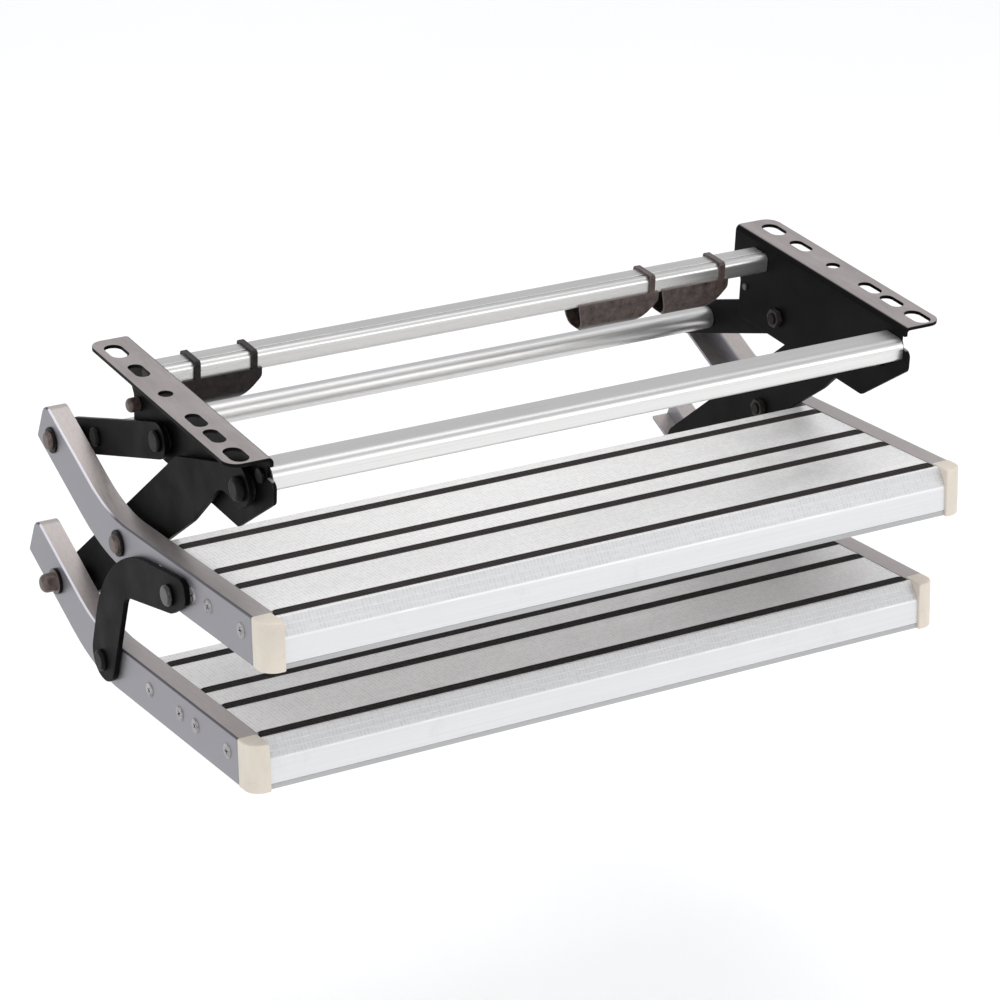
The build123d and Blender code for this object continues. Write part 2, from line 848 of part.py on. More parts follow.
# Long links with the hinge bolts of both steps
pieces["left_long_link"] = long_link()
pieces["right_long_link"] = flipped(pieces["left_long_link"])
link_tip = link_inner - nut_height - thread_past
hinge_head = rail_outer + side_gap
hinge_collar = hinge_head + collar_height
pieces["upper_hinge_bolts"] = turned_pins(
    upper_hinge,
    [
        (hinge_collar + head_height, hinge_collar, dome_radius),
        (hinge_collar, hinge_head, collar_radius),
        (hinge_head, link_tip, pin_radius),
    ],
    True,
)
dome_collar = hinge_head + dome_collar_height
pieces["lower_hinge_bolts"] = turned_pins(
    lower_joint,
    [
        (dome_collar + dome_height, dome_collar, dome_radius),
        (dome_collar, hinge_head, collar_radius),
        (hinge_head, link_tip, pin_radius),
    ],
    True,
)
pieces["hinge_nuts"] = nuts((upper_hinge, lower_joint), link_inner)

# Rear links with the middle crossbar
pieces["left_rear_link"] = rear_link()
pieces["right_rear_link"] = flipped(pieces["left_rear_link"])
with BuildPart() as middle_crossbar:
    with BuildSketch(side_plane(link_inner, middle_bar)):
        Circle(middle_bar_radius)
        Circle(middle_bar_bore + fit_gap, mode=Mode.SUBTRACT)
    extrude(amount=2 * link_inner)
pieces["middle_crossbar"] = middle_crossbar
pieces["middle_bar_bolts"] = turned_pins(
    middle_bar,
    [
        (rail_inner - 2 * side_gap, link_outer, middle_bolt_head),
        (link_outer, link_inner - middle_bolt_length, middle_bar_bore),
    ],
    True,
)
pieces["arm_end_pins"] = turned_pins(upper_arm, [(link_outer, link_tip, pin_radius)], False)
pieces["arm_end_nuts"] = nuts((upper_arm,), link_inner)

# Both steps: the same rails, planks, strips, caps and screws
steps = {
    "upper": (upper_hinge, [(0.0, 0.0)], [arm_hole, lever_hole]),
    "lower": (lower_hinge, [link_hole], [(0.0, 0.0)]),
}
for step, (hinge, running_holes, still_holes) in steps.items():
    pieces[step + "_left_rail"] = rail(hinge, running_holes, still_holes)
    pieces[step + "_right_rail"] = flipped(pieces[step + "_left_rail"])
    pieces[step + "_front_plank"] = plank(hinge, front_plank, front_screws, True)
    pieces[step + "_rear_plank"] = plank(hinge, rear_plank, rear_screws, False)
    pieces[step + "_grips"] = grips(hinge, (front_plank, rear_plank))
    pieces[step + "_left_cap"] = end_cap(hinge)
    pieces[step + "_right_cap"] = flipped(pieces[step + "_left_cap"])
    pieces[step + "_plank_screws"] = plank_screws(hinge)

open_gap = side_gap + running_gap
pieces["upper_spacers"] = rings(
    (upper_hinge,), web_inner, link_outer + side_gap, spacer_radius, pin_radius + running_gap
)
pieces["lower_spacers"] = rings(
    (lower_joint,), web_inner, link_outer + side_gap, spacer_radius, pin_radius + running_gap
)
pieces["upper_arm_bolts"] = turned_pins(
    upper_arm,
    [
        (rail_outer + collar_height + head_height, rail_outer + collar_height, dome_radius),
        (rail_outer + collar_height, rail_outer, collar_radius),
        (rail_outer, link_outer + open_gap, pin_radius),
    ],
    True,
)
pieces["upper_arm_spacers"] = rings(
    (upper_arm,), web_inner, link_outer + open_gap, spacer_radius, pin_radius + fit_gap
)
lever_head = lever_outer + side_gap
pieces["lever_pivot_bolts"] = turned_pins(
    upper_lever,
    [
        (lever_head + head_height, lever_head, head_radius),
        (lever_head, web_inner - nut_height - thread_past, pin_radius),
    ],
    True,
)
pieces["lever_washers"] = rings(
    (upper_lever,), lever_inner - side_gap, rail_outer, washer_radius, pin_radius + fit_gap
)
pieces["lever_nuts"] = nuts((upper_lever,), web_inner)
pieces["lower_rail_pins"] = turned_pins(
    lower_hinge, [(rail_outer, web_inner - nut_height - thread_past, pin_radius)], False
)
pieces["lower_rail_nuts"] = nuts((lower_hinge,), web_inner)

# Levers
pieces["left_lever"] = lever()
pieces["right_lever"] = flipped(pieces["left_lever"])
pieces["lever_end_bolts"] = turned_pins(
    lower_hinge,
    [
        (lever_outer + head_height, lever_outer, head_radius),
        (lever_outer, lever_inner, pin_radius),
        (lever_inner, rail_outer + open_gap, washer_radius),
    ],
    True,
)

for label, piece in pieces.items():
    piece.part.label = label
    export_step(piece.part, f"parts/{label}.step")
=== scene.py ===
import json
from math import pi, radians

import bpy
from bpy.props import FloatProperty, FloatVectorProperty, IntProperty, PointerProperty
from bpy.types import Operator, Panel, PropertyGroup
from mathutils import Matrix, Vector

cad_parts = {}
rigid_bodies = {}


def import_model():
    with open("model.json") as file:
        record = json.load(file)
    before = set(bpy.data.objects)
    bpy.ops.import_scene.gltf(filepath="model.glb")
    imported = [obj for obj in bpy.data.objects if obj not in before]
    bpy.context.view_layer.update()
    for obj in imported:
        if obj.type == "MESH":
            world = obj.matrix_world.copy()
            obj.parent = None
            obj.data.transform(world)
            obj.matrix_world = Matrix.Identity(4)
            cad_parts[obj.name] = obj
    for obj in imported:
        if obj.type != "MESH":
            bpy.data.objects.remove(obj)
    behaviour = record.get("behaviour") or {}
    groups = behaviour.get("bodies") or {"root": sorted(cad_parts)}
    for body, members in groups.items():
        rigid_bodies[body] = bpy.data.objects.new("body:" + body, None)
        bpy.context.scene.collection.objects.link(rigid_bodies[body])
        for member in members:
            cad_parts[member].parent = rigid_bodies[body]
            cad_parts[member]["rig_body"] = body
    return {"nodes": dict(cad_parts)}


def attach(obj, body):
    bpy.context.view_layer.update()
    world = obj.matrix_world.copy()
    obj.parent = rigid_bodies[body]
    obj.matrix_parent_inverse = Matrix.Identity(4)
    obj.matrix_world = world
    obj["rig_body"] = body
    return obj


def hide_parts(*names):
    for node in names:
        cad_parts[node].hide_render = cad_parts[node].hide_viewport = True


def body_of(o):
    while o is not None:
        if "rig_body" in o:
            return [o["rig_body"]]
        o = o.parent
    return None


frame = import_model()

bl_info = {
    "name": "Folding Entry Step",
    "version": (1, 0, 0),
    "blender": (4, 5, 0),
    "location": "View3D > Sidebar > Entry Step",
    "description": "Finishes, grips, caps, clips, fasteners and studio of a folding entry step",
    "category": "Object",
}

SIDES = (-1, 1)

# The steps at rest, as the solids have them: their lean, and their hinge holes as (y, z) in metres
STEP_LEAN = radians(-6.36)
HINGES = {"upper": (0.065668, -0.155312), "lower": (0.086614, -0.269688)}

# Along a tread from its hinge hole, in metres: its grip strips and its screws. Then how far each
# screw's recess is turned, in degrees
STRIP_PLACES = (-0.2377, -0.1753, -0.1387, -0.0763)
SCREW_PLACES = (-0.2182, -0.1622, -0.1342, -0.0787)
SCREW_TURNS = (12, 57, 33, 74)

# Each kind of solid: the ending of its name, its slot, its finish and how wide its edges are
# rounded, in metres. The first row that fits a name counts
KINDS = (
    ("_bracket", "black_steel", "BracketPaint", 0.0007),
    ("_link", "black_steel", "BlackPaint", 0.0006),
    ("_lever", "black_steel", "BlackPaint", 0.0008),
    ("_crossbar", "bright_aluminium", "CrossbarSatin", 0.0005),
    ("_rail", "rail_aluminium", "RailSatin", 0.0005),
    ("_plank", "tread_aluminium", "TreadPale", 0.0004),
    ("_cap", "cap_plastic", "CapIvory", 0.0016),
    # The left clips take a darker copy of the clip colour: painted shade.
    ("left_clip", "clip_steel", "ClipBlack", 0.0005),
    ("_clip", "clip_steel", "ClipBrown", 0.0005),
    ("_nuts", "dark_steel", "BoltSteel", 0.0006),
    ("_washers", "dark_steel", "BoltSteel", 0.0004),
    ("_spacers", "dark_steel", "BoltSteel", 0.0004),
    ("middle_bar_bolts", "dark_steel", "BoltBlack", 0.0006),
    ("arm_pivot_bolts", "dark_steel", "BoltBlack", 0.0006),
    ("crossbar_bolts", "dark_steel", "BoltBlack", 0.0006),
    ("link_pivot_bolts", "dark_steel", "BoltBlack", 0.0006),
    ("lever_pivot_bolts", "dark_steel", "BoltGloss", 0.0006),
    ("lever_end_bolts", "dark_steel", "BoltBlack", 0.0006),
    ("_bolts", "dark_steel", "BoltBrown", 0.0006),
    ("_pins", "dark_steel", "BoltSteel", 0.0005),
)
EDGE_STEPS = 2  # steps that an edge is rounded in
EDGE_ANGLE = 35  # degrees from which on an edge is rounded and looks sharp
KIND_STEPS = {"_cap": 4}
KIND_ANGLES = {"_rail": 60}

# Limits for picking and for cleaning up, lengths in metres
SAME_POINT = 0.00001  # points closer than this are one
ON_FACE = 0.0001  # a point closer to a face than this lies on it
SLIVER = 0.00005  # edges shorter than this go once a rail's rim is rounded
NO_LENGTH = 0.000002  # edges shorter than this go from every piece
FACING = 0.9  # share of its normal from which on a face looks along an axis
ASIDE = 0.5  # share below which it looks aside
ONE_PLANE = radians(1)  # faces within this angle are one
FINE_ANGLE = 40  # degrees from which on a small piece's edge is rounded

RIM_STEPS = 4  # steps of the rounding between a rail's web and its flanges

# A plank screw
HEAD_SIDES = 32
DOME_SHARE = 0.9  # share of the head's height that is domed
DOME_STEPS = 4
DOME_SKIN = 0.0002  # what lies this close under the dome's top is no recess
TIP_SHARE = 0.4  # share of the shank's radius that its tip is cut back by
TIP_STEPS = 2
RECESS_TAPER = 0.7  # width of the recess's floor as a share of its mouth
SCREW_EDGE = 0.00015

# A grip strip
END_SHARE = 0.85  # rounding of the strip's ends as a share of half its width
END_STEPS = 6
RIB_EDGE = 0.0002

# Stretch of a grain on the piece's own axes, for marks that run along it
ALONG_RAIL = (10.0, 0.12, 10.0)
ALONG_BAR = (0.05, 12.0, 12.0)
ALONG_PLANK = (0.06, 12.0, 12.0)
ALONG_FLANGE = (1.0, 0.25, 1.0)
ALONG_PLATE = (1.0, 0.12, 1.0)
ALONG_CAP = (1, 1, 0.5)

BARE_STEEL = (0.055, 0.050, 0.050)
RUBBED_ALUMINIUM = (0.95, 0.94, 0.93)
GRIME = (0.52, 0.42, 0.30)
RUST_TINT = (1.6, 1.1, 0.8)  # what rust makes of each part of a colour

SHALLOW = 0.0003  # depth of a shallow bump layer in metres
DEEP = 0.0004  # depth of a deep one

# The lamps: name, place, width, height and tint. Each one's power is a setting
LAMPS = (
    ("key", (1.9, -2.9, 1.0), 2.6, 1.2, (1.0, 0.995, 0.98)),
    ("fill", (-2.7, -1.0, 1.1), 1.8, 1.6, (0.97, 0.975, 1.0)),
    ("top", (0.3, 0.3, 2.8), 2.6, 2.2, (1.0, 0.99, 0.98)),
)
LAMP_AIM = (0, 0, -0.15)
AIR_TINT = (0.97, 0.98, 1.0, 1.0)
WHITE = (1.0, 1.0, 1.0, 1.0)
SENSOR_WIDTH = 36.0  # millimetres
NEAREST, FARTHEST = 0.1, 60.0  # what the camera sees, in metres

finishes = {}


def size(name, description, default):
    """A length property in metres."""
    return FloatProperty(
        name=name, description=description, default=default, min=0.0, max=1.0,
        unit="LENGTH", precision=4,
    )


def colour(name, description, default):
    """A linear colour property."""
    return FloatVectorProperty(
        name=name, description=description, default=default, size=3, subtype="COLOR",
        min=0.0, max=1.0,
    )


class StepSizes(PropertyGroup):
    """Sizes of the pieces that are modelled here."""

    hinge_to_strips: size(
        "Hinge to strip base", "From the hinge hole up to the floor of the grip grooves", 0.0154)
    strip_width: size("Strip width", "Width of a grip strip", 0.0098)
    strip_height: size("Strip height", "Height of a grip strip with its ribs", 0.0025)
    strip_reach: size("Strip reach", "From the middle of the step to a strip's end", 0.3019)
    strip_rib: size("Rib height", "Height of the ribs along a grip strip", 0.0007)
    strip_ribs: IntProperty(
        name="Ribs", description="Ribs on one grip strip", default=4, min=2, max=8,
        subtype="UNSIGNED",
    )
    rail_reach: size("Rail reach", "From the middle to the outer face of a side rail", 0.32000)
    head_radius: size("Head radius", "Radius of a plank screw's low domed head", 0.0062)
    head_height: size("Head height", "Height of a plank screw's head", 0.0010)
    screw_sink: size("Screw sink", "Radius of a plank screw in the rail's countersink", 0.00390)
    cross_reach: size(
        "Recess reach", "From a screw's middle to the end of a recess arm", 0.0030)
    screw_shank: size("Screw shank", "Radius of a plank screw's shank", 0.00195)
    screw_length: size("Screw length", "Length of a plank screw's shank", 0.0175)
    screw_height: size("Screw height", "From the hinge hole up to the screws", 0.0008)
    # The lip takes a darker copy of the nosing: painted shade along the nosing's foot.
    lip_height: size("Lip height", "Height of the duller lip along the nosing's foot", 0.0045)
    collar_reach: size(
        "Collar reach", "How far a bolt's black collar stands out from a side rail", 0.0026)
    cross_depth: size("Recess depth", "Depth of the cross recess in a plank screw", 0.0016)
    cross_width: size("Recess width", "Width of one arm of the cross recess", 0.0013)
    rail_corner: size("Rail corner", "Rounding between a rail's web and its flanges", 0.0021)
    edge_share: FloatProperty(
        name="Edge rounding", description="Share of each kind's usual edge rounding",
        default=1.0, min=0.2, max=1.5, subtype="FACTOR",
    )


class StepColours(PropertyGroup):
    """Base colours of the finishes."""

    paint: colour(
        "Black paint", "Stove enamel on brackets, links and levers", (0.0034, 0.0030, 0.0032))
    # The flange top colour is a painted reflection on the black enamel of the up-facing flange
    # tops, mottled by scuffs.
    flange: colour("Flange top", "Rubbed grey top of the mounting flanges", (0.30, 0.272, 0.268))
    rail: colour("Rail web", "Satin anodised outer face of the side rails", (0.28, 0.272, 0.295))
    # The rail flange colour is a painted reflection: flanges and web are one aluminium extrusion.
    rail_flange: colour("Rail flange", "Warmer flanges of the side rails", (0.42, 0.382, 0.37))
    tread: colour("Tread aluminium", "Pale ribbed top of the planks", (0.90, 0.885, 0.875))
    # The nosing colour on the faces that look forward is partly the nosing's smoother finish and
    # partly painted shade.
    nosing: colour("Nosing aluminium", "Smooth anodised nosing of the planks", (0.72, 0.72, 0.725))
    crossbar: colour("Crossbar aluminium", "Satin drawn crossbars", (0.54, 0.535, 0.53))
    # The crossbar front colour is a painted highlight on the faces that look forward.
    crossbar_front: colour(
        "Crossbar front", "Brighter front face of the crossbars", (0.74, 0.735, 0.725))
    rubber: colour("Grip rubber", "Dark rubber strips", (0.022, 0.016, 0.015))
    plastic: colour("Cap plastic", "Ivory end caps", (0.67, 0.605, 0.52))
    clip: colour("Clip brown", "Dark brown clip bodies", (0.064, 0.046, 0.041))
    bolt: colour("Bolt steel", "Dark zinc plated fasteners", (0.030, 0.025, 0.024))
    zinc: colour("Screw zinc", "Pale zinc on the plank screws", (0.27, 0.258, 0.262))
    brown: colour("Bolt brown", "Brown passivated bolt heads", (0.085, 0.060, 0.052))


class StudioSettings(PropertyGroup):
    """Camera, floor and lamps."""

    camera_place: FloatVectorProperty(
        name="Camera place", description="Where the camera stands", subtype="TRANSLATION",
        default=(-1.42553, -2.34257, 1.17188), size=3,
    )
    azimuth: FloatProperty(
        name="Azimuth", description="Turn of the view about the upright axis", subtype="ANGLE",
        default=radians(-31.189),
    )
    elevation: FloatProperty(
        name="Elevation", description="Height of the view over the horizon", subtype="ANGLE",
        default=radians(25.829),
    )
    roll: FloatProperty(
        name="Roll", description="Lean of the camera", subtype="ANGLE", default=radians(2.532),
    )
    lens: FloatProperty(
        name="Lens", description="Focal length in millimetres", unit="CAMERA",
        default=133.393, min=10.0, max=500.0,
    )
    floor: FloatProperty(
        name="Floor level", description="Height of the floor", unit="LENGTH", default=-0.62,
    )
    floor_size: FloatProperty(
        name="Floor size", description="Half the width of the floor", unit="LENGTH", default=9.0,
    )
    floor_colour: colour("Floor colour", "Plain pale floor", (0.90, 0.90, 0.90))
    key: FloatProperty(
        name="Key light", description="Power of the light in front", subtype="POWER",
        default=20.0,
    )
    fill: FloatProperty(
        name="Fill light", description="Power of the light on the left", subtype="POWER",
        default=11.0,
    )
    top: FloatProperty(
        name="Top light", description="Power of the light above", subtype="POWER", default=30.0,
    )
    sky: FloatProperty(
        name="Ambient", description="Strength of the ambient light", subtype="FACTOR",
        default=0.85,
    )
    floor_glow: FloatProperty(
        name="Floor glow", description="Own light of the pale floor", subtype="FACTOR",
        default=0.12,
    )


# Modelling

def deselect():
    """Leaves edit mode and selects nothing."""
    if bpy.context.object and bpy.context.object.mode != "OBJECT":
        bpy.ops.object.mode_set(mode="OBJECT")
    bpy.ops.object.select_all(action="DESELECT")


def named(name):
    """Names the object that was just added."""
    piece = bpy.context.object
    piece.name = name
    piece.data.name = name
    return piece


def only(piece):
    """Selects one object alone and makes it active."""
    deselect()
    piece.select_set(True)
    bpy.context.view_layer.objects.active = piece


def block(name, low, high):
    """A box between two corners, its place kept in its mesh."""
    deselect()
    low = Vector(low)
    high = Vector(high)
    bpy.ops.mesh.primitive_cube_add(size=1, location=(low + high) / 2, scale=high - low)
    piece = named(name)
    bpy.ops.object.transform_apply(location=True, rotation=True, scale=True)
    return piece


def disc(name, radius, sides, centre, depth):
    """A prism along X with its place kept in its mesh."""
    deselect()
    bpy.ops.mesh.primitive_cylinder_add(
        vertices=sides, radius=radius, depth=depth, location=centre, rotation=(0, pi / 2, 0)
    )
    piece = named(name)
    bpy.ops.object.transform_apply(location=True, rotation=True, scale=True)
    return piece


def pick(piece, test, kind="faces"):
    """Selects the faces or edges of a piece that pass a test and leaves it in edit mode."""
    bpy.ops.object.mode_set(mode="EDIT")
    bpy.ops.mesh.select_all(action="DESELECT")
    bpy.ops.mesh.select_mode(type="FACE" if kind == "faces" else "EDGE")
    bpy.ops.object.mode_set(mode="OBJECT")
    found = False
    for part in getattr(piece.data, "polygons" if kind == "faces" else "edges"):
        part.select = bool(test(part))
        found = found or part.select
    bpy.ops.object.mode_set(mode="EDIT")
    if not found:
        raise RuntimeError(f"nothing was picked on {piece.name}")


def edge_ends(piece, edge):
    """Both ends of an edge."""
    return [piece.data.vertices[i].co for i in edge.vertices]


def finish_with(piece, kind, **settings):
    """Adds a modifier to a piece and applies it."""
    only(piece)
    modifier = piece.modifiers.new(kind.title(), kind)
    for key, value in settings.items():
        setattr(modifier, key, value)
    bpy.ops.object.modifier_apply(modifier=modifier.name)


def round_edges(piece, width, steps, angle):
    """Rounds the edges of a piece that are sharper than an angle in degrees."""
    finish_with(
        piece, "BEVEL", width=width, segments=steps, limit_method="ANGLE",
        angle_limit=radians(angle),
    )


def cut(piece, tool, operation):
    """Takes a tool away from a piece, or keeps what both share, and removes the tool."""
    finish_with(piece, "BOOLEAN", object=tool, operation=operation, solver="EXACT")
    bpy.data.objects.remove(tool)


def edit_all(piece):
    """Opens a piece in edit mode with everything selected."""
    only(piece)
    bpy.ops.object.mode_set(mode="EDIT")
    bpy.ops.mesh.select_all(action="SELECT")


def done(piece):
    """No empty faces, smooth shading up to an angle, and flats that stay flat."""
    edit_all(piece)
    bpy.ops.mesh.dissolve_degenerate(threshold=NO_LENGTH)
    bpy.ops.object.mode_set(mode="OBJECT")
    bpy.ops.object.shade_smooth_by_angle(angle=radians(EDGE_ANGLE))
    finish_with(piece, "WEIGHTED_NORMAL", keep_sharp=True)


def twin(piece, name, move):
    """A copy of a piece with its own mesh, moved by a matrix."""
    copy = bpy.data.objects.new(name, piece.data.copy())
    copy.data.name = name
    bpy.context.scene.collection.objects.link(copy)
    copy.data.transform(move)
    if move.to_3x3().determinant() < 0:
        copy.data.flip_normals()
    return copy


def merged(pieces, name):
    """Joins pieces into one object."""
    deselect()
    for piece in pieces:
        piece.select_set(True)
    bpy.context.view_layer.objects.active = pieces[0]
    bpy.ops.object.join()
    return named(name)


def settle(piece, body, finish_name):
    """Puts a finished piece on its body and its finish."""
    piece.data.materials.clear()
    piece.data.materials.append(finishes[finish_name])
    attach(piece, body)


def second_finish(piece, name, test):
    """Gives another finish to the faces whose middles pass a test."""
    piece.data.materials.append(finishes[name])
    for face in piece.data.polygons:
        face.material_index = int(test(face.center))


def web_rim(piece):
    """The edges of the longest closed rim on a rail's outer face, by their index."""
    reach = max(abs(v.co.x) for v in piece.data.vertices)
    sideways = {}
    for face in piece.data.polygons:
        for key in face.edge_keys:
            sideways.setdefault(key, []).append(abs(face.normal.x))
    edges_at = {}
    for edge in piece.data.edges:
        on_web = all(abs(abs(end.x) - reach) < ON_FACE for end in edge_ends(piece, edge))
        looks = sorted(sideways[edge.key])
        if on_web and looks[0] < ASIDE and looks[-1] > FACING:
            for vertex in edge.vertices:
                edges_at.setdefault(vertex, []).append(edge)
    rims = []
    while edges_at:
        waiting = [next(iter(edges_at))]
        rim = set()
        while waiting:
            for edge in edges_at.pop(waiting.pop(), []):
                rim.add(edge.index)
                waiting += edge.vertices
        rims.append(rim)

    def length(rim):
        ends = (edge_ends(piece, piece.data.edges[i]) for i in rim)
        return sum((a - b).length for a, b in ends)

    return max(rims, key=length)


def tread_frame(hinge):
    """Local axes of a step at rest: the hinge hole as origin, leaned with the tread."""
    return Matrix.Translation((0, hinge[0], hinge[1])) @ Matrix.Rotation(STEP_LEAN, 4, "X")


def kind_of(node):
    """The row of KINDS that a solid's name fits, or None."""
    return next((row for row in KINDS if node.endswith(row[0])), None)


def in_lip(piece, step_name, height):
    """A test for the faces of the lip along the foot of a plank's front."""
    back = tread_frame(HINGES[step_name]).inverted()
    ends = [back @ v.co for v in piece.data.vertices]
    foot = min(end.z for end in ends) + height
    face_line = min(end.y for end in ends) + height
    return lambda at: (back @ at).z < foot and (back @ at).y < face_line


def in_recess(sizes, axes):
    """A test for the faces inside the cross recesses of a step's screws."""
    back = axes.inverted()
    top = sizes.rail_reach + sizes.head_height
    low = top - sizes.cross_depth

    def test(at):
        spot = back @ at
        across = min(abs(spot.y - place) for place in SCREW_PLACES)
        reach = Vector((across, spot.z - sizes.screw_height)).length
        return reach < sizes.cross_reach and low - ON_FACE < abs(spot.x) < top - DOME_SKIN

    return test


# Finishes

def add(tree, kind, values=None, **settings):
    """A shader node with its settings, its values and its links."""
    made = tree.nodes.new("ShaderNode" + kind)
    for key, value in settings.items():
        setattr(made, key, value)
    for socket, value in (values or {}).items():
        if isinstance(value, bpy.types.NodeSocket):
            tree.links.new(value, made.inputs[socket])
        else:
            made.inputs[socket].default_value = value
    return made


def grain(tree, scale, detail=3.0, roughness=0.5, stretch=(1, 1, 1), distortion=0.0):
    """Noise on the piece's own coordinates, stretched along an axis where asked."""
    place = add(tree, "TexCoord").outputs["Object"]
    spread = add(tree, "Mapping", {"Vector": place, "Scale": stretch})
    noise = add(
        tree, "TexNoise",
        {"Vector": spread.outputs[0], "Scale": scale, "Detail": detail, "Roughness": roughness,
         "Distortion": distortion},
    )
    return noise.outputs["Fac"]


def ramp(tree, value, low, high, start=0.0, end=1.0):
    """A value between two limits, mapped onto start to end and clamped."""
    return add(
        tree, "MapRange",
        {"Value": value, "From Min": low, "From Max": high, "To Min": start, "To Max": end},
        clamp=True,
    ).outputs["Result"]


def times(tree, first, second):
    """The product of two values."""
    return add(tree, "Math", {0: first, 1: second}, operation="MULTIPLY").outputs[0]


def blend(tree, factor, first, second):
    """A colour between two others."""
    mix = add(tree, "Mix", data_type="RGBA")
    for socket, value in (("Factor", factor), ("A", first), ("B", second)):
        target = [s for s in mix.inputs if s.name == socket and s.enabled][0]
        if isinstance(value, bpy.types.NodeSocket):
            tree.links.new(value, target)
        else:
            target.default_value = (*value, 1.0) if socket != "Factor" else value
    return [s for s in mix.outputs if s.enabled][0]


def shade(base, factor):
    """A colour made lighter or darker."""
    return tuple(min(1.0, part * factor) for part in base)


def edges(tree, radius):
    """Where the surface turns a corner, for wear along edges."""
    soft = add(tree, "Bevel", {"Radius": radius}, samples=4).outputs[0]
    true = add(tree, "NewGeometry").outputs["Normal"]
    meet = add(tree, "VectorMath", {0: soft, 1: true}, operation="DOT_PRODUCT").outputs["Value"]
    bend = add(tree, "Math", {0: 1.0, 1: meet}, operation="SUBTRACT").outputs[0]
    return ramp(tree, bend, low=0.02, high=0.25)


def own_normal(tree):
    """The three parts of the surface's normal on the piece's own axes."""
    normal = add(tree, "TexCoord").outputs["Normal"]
    return add(tree, "SeparateXYZ", {0: normal}).outputs


def facing_up(tree, low=0.85, high=0.97):
    """Where the piece's own surface faces up."""
    return ramp(tree, own_normal(tree)["Z"], low, high)


def facing_side(tree):
    """Where the piece's own surface faces sideways."""
    side = add(tree, "Math", {0: own_normal(tree)["X"]}, operation="ABSOLUTE").outputs[0]
    return ramp(tree, side, low=0.35, high=0.75)


def facing_front(tree):
    """Where the piece's own surface faces forward."""
    return ramp(tree, own_normal(tree)["Y"], low=-0.95, high=-0.6, start=1.0, end=0.0)


def corners(tree):
    """Where a rounded corner turns from the side to the top, and where it also leans forward: the
    masks of a painted shade line and a painted highlight.
    """
    normal = own_normal(tree)
    side = add(tree, "Math", {0: normal["X"]}, operation="ABSOLUTE").outputs[0]
    rising = ramp(tree, side, low=0.12, high=0.3)
    turned = times(tree, rising, ramp(tree, normal["Z"], low=0.15, high=0.35))
    ahead = ramp(tree, normal["Y"], low=-0.12, high=-0.02, start=1.0, end=0.0)
    return turned, times(tree, turned, ahead)


def bumped(tree, layers):
    """A normal from (height, strength, depth) layers."""
    normal = None
    for height, strength, depth in layers:
        values = {"Height": height, "Strength": strength, "Distance": depth}
        if normal:
            values["Normal"] = normal
        normal = add(tree, "Bump", values).outputs[0]
    return normal


def fresh(name):
    """An empty node tree of a new material."""
    material = bpy.data.materials.new(name)
    material.use_nodes = True
    material.node_tree.nodes.clear()
    return material.node_tree


def finish(name, tree, body, roughness, normal=None, metallic=0.0, **sockets):
    """Closes a finish: the shader with its colour, roughness and normal."""
    shader = add(
        tree, "BsdfPrincipled",
        {"Base Color": body, "Roughness": roughness, "Metallic": metallic},
    )
    for key, value in sockets.items():
        shader.inputs[key.replace("_", " ")].default_value = value
    if normal:
        tree.links.new(normal, shader.inputs["Normal"])
    add(tree, "OutputMaterial", {"Surface": shader.outputs[0]})
    finishes[name] = bpy.data.materials[name]


def paint(name, base, top=None):
    """Black stove enamel: fine orange peel, dust, and edges rubbed to grey steel; where asked, a
    lighter top that is a painted reflection.
    """
    tree = fresh(name)
    patches = ramp(tree, grain(tree, scale=14.0, detail=4.0), low=0.35, high=0.65)
    body = blend(tree, patches, shade(base, 0.75), shade(base, 1.6))
    specks = ramp(tree, grain(tree, scale=420.0, detail=2.0), low=0.62, high=0.75, end=0.35)
    body = blend(tree, specks, body, shade(base, 4.0))
    sheen = grain(tree, scale=30.0, detail=5.0)
    gloss = ramp(tree, sheen, low=0.3, high=0.7, start=0.36, end=0.52)
    # Faces that look up take the top colour: a painted reflection, mottled by scuffs.
    if top:
        up = facing_up(tree)
        rubs = grain(tree, scale=60.0, detail=6.0, roughness=0.7, stretch=ALONG_FLANGE)
        scuffs = ramp(tree, rubs, low=0.35, high=0.7)
        rubbed = blend(tree, scuffs, shade(top, 0.86), shade(top, 1.12))
        body = blend(tree, up, body, rubbed)
    turns = edges(tree, radius=0.0012)
    chips = ramp(tree, grain(tree, scale=90.0, detail=4.0), low=0.42, high=0.62)
    body = blend(tree, times(tree, turns, chips), body, BARE_STEEL)
    peel = grain(tree, scale=700.0, detail=2.0)
    marks = grain(tree, scale=160.0, detail=3.0, roughness=0.6, stretch=ALONG_PLATE)
    scratches = ramp(tree, marks, low=0.55, high=0.72)
    normal = bumped(tree, [(peel, 0.12, DEEP), (scratches, 0.06, SHALLOW)])
    finish(name, tree, body, gloss, normal, Specular_IOR_Level=0.04)


